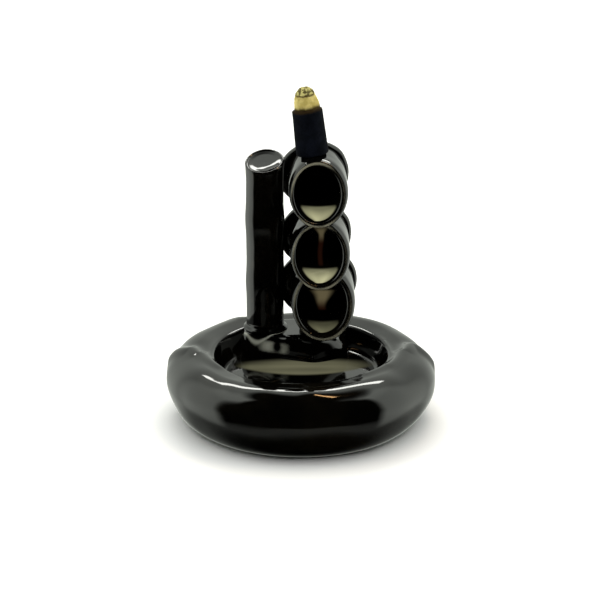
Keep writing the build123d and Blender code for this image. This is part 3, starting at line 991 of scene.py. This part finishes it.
def falling_smoke(name, wide, narrow, funnel, drop, strength, to_red_glow):
    """Smoke that pours off a lip, draws together and fades out, its painted glow faint red-brown below."""
    stand, radius, wall, length = spout_stands[name]
    lip = stand @ Vector((0, -radius + 0.45 * wall, length))

    def place(u, v):
        half = narrow + (wide - narrow) * max(0.0, 1 - v / funnel) ** 1.6
        sway = 0.25 * MM * sin(7 * v)
        return (lip.x + 0.5 * MM + sway + (2 * u - 1) * half, lip.y - 0.5 * MM, lip.z + 0.3 * MM - drop * v)

    def tint(u, v):
        side = abs(2 * u - 1)
        colour = (TAN * strength).lerp(DIM_RED_GLOW, fade(v, to_red_glow * 0.35, to_red_glow))
        thick = fade(side, 1.0, 0.25) * (1 - fade(v, 0.9, 1.0)) * (0.35 + 0.65 * fade(v, 0.0, 0.1))
        return (*colour, thick * (1 - 0.45 * fade(v, to_red_glow * 0.5, to_red_glow)))

    veil(f"smoke_off_{name}_lip", 21, 61, place, tint)


for name in ("upper", "middle", "lower"):
    lying_smoke(name)
falling_smoke("upper", 3.8 * MM, 1.3 * MM, 0.2, 16.0 * MM, 0.5, 0.42)
falling_smoke("middle", 5.6 * MM, 2.0 * MM, 0.85, 8.5 * MM, 0.62, 0.95)

# emitted colour of the pond smoke's painted glow
POOL_SMOKE, POOL_SMOKE_Z = Vector((0.125, 0.121, 0.074)), POOL_Z + 1.6 * MM


def pond_place(u, v):
    return (-30 * MM + 62 * MM * u, -14 * MM + 30 * MM * v, POOL_SMOKE_Z)


def pond_tint(u, v):
    """A lens of tan smoke with painted glow between the front of the pond and the ledge, streaked sideways.
    """
    x, y, _ = pond_place(u, v)
    front = -8.6 * MM + 13.0 * (x - 0.5 * MM) ** 2
    back = 12.0 * MM - 6.0 * (x - 4 * MM) ** 2
    streak = 1 + 0.35 * noise.noise(Vector((x * 25, y * 260, 3)))
    streak += 0.2 * noise.noise(Vector((x * 60, y * 90, 9)))
    # the painted glow dims towards the right
    shade = POOL_SMOKE * streak * (1 - 0.75 * fade(x, 10 * MM, 30 * MM))
    thick = fade(y, front, front + 2.6 * MM) * fade(y, back, back - 7 * MM) * fade(x, -27 * MM, -19 * MM)
    return (*shade, 0.92 * thick * fade(x, 33 * MM, 22 * MM))


veil("smoke_in_pond", 81, 61, pond_place, pond_tint)


# ---- studio ---------------------------------------------------------------------------------------
def floor():
    mesh = bpy.data.meshes.new("floor")
    reach = 12.0
    corners = [(x * reach, y * reach, 0) for x, y in ((-1, -1), (1, -1), (1, 1), (-1, 1))]
    mesh.from_pydata(corners, [], [(0, 1, 2, 3)])
    material = bpy.data.materials.new("pale_floor")
    material.use_nodes = True
    shader = next(n for n in material.node_tree.nodes if n.type == "BSDF_PRINCIPLED")
    shader.inputs["Base Color"].default_value = (0.86, 0.86, 0.85, 1)
    shader.inputs["Roughness"].default_value = 0.9
    shader.inputs["Specular IOR Level"].default_value = 0.0
    return show("floor", mesh, material)


table_top = floor()
table_top.visible_glossy = False    # the glaze reflects the dim room below the backdrop instead


def surroundings():
    """A pale backdrop behind and brighter ones at both sides, and the dim room everywhere else."""
    world = bpy.data.worlds.new("studio")
    bpy.context.scene.world = world
    world.use_nodes = True
    bench = Bench(world.node_tree)
    way = bench.add("ShaderNodeTexCoord", output="Generated")
    x, y, z = (bench.add("ShaderNodeSeparateXYZ", None, {"Vector": way}, output=n) for n in range(3))
    level_run = (x * x + y * y).math("SQRT").at_least(0.001)
    behind = bench.smooth(y / level_run, -0.40, -0.18)      # 1 behind and beside, 0 in front
    beside = bench.smooth((x / level_run).math("ABSOLUTE"), 0.72, 0.95)
    under_top = bench.smooth(z, 0.93, 0.84)
    over_table = bench.smooth(z, -0.66, -0.32)
    backdrop = behind * under_top * over_table * (0.74 + beside * 0.55 + bench.smooth(z, 0.6, 0.85) * 0.35)
    table = bench.smooth(z, -0.36, -0.48) * bench.smooth(z, -0.95, -0.6)
    background = next(n for n in world.node_tree.nodes if n.type == "BACKGROUND")
    connect(world.node_tree, (0.95, 1.0, 0.91, 1), background.inputs["Color"])
    connect(world.node_tree, backdrop + table * 0.22 + 0.001, background.inputs["Strength"])


surroundings()


def soft_light(name, place, target, width, depth, power, colour=(1, 1, 1)):
    lamp = bpy.data.lights.new(name, "AREA")
    lamp.shape, lamp.size, lamp.size_y, lamp.energy, lamp.color = "RECTANGLE", width, depth, power, colour
    light = bpy.data.objects.new(name, lamp)
    aim = (Vector(target) - Vector(place)).to_track_quat("-Z", "Y")
    light.matrix_world = Matrix.Translation(place) @ aim.to_matrix().to_4x4()
    bpy.context.scene.collection.objects.link(light)


soft_light("back_strip", (0.0, 0.74, 0.86), (0, 0, 0.02), 0.84, 0.16, 4.4, (1.0, 1.0, 0.94))
soft_light("warm_lamp", (0.121, 0.079, 0.569), (0, -0.04, 0.02), 0.20, 0.022, 0.20, (1.0, 0.58, 0.25))
ceiling = bpy.data.lights.new("ceiling", "SUN")
ceiling.energy, ceiling.angle = 2.9, radians(100)
ceiling_light = bpy.data.objects.new("ceiling", ceiling)
ceiling_light.visible_glossy = False
bpy.context.scene.collection.objects.link(ceiling_light)

# ---- camera ---------------------------------------------------------------------------------------
CAMERA_PLACE, CAMERA_FALL, LENS = (-0.0003, -0.9272, 0.3746), radians(19.44), 154.4
camera = bpy.data.objects.new("camera", bpy.data.cameras.new("camera"))
camera.data.lens, camera.data.sensor_width = LENS, 36.0
camera.data.clip_start = 0.05
camera.location = CAMERA_PLACE
camera.rotation_euler = (pi / 2 - CAMERA_FALL, 0, 0)
bpy.context.scene.collection.objects.link(camera)
bpy.context.scene.camera = camera
bpy.context.scene.view_settings.view_transform = "Standard"
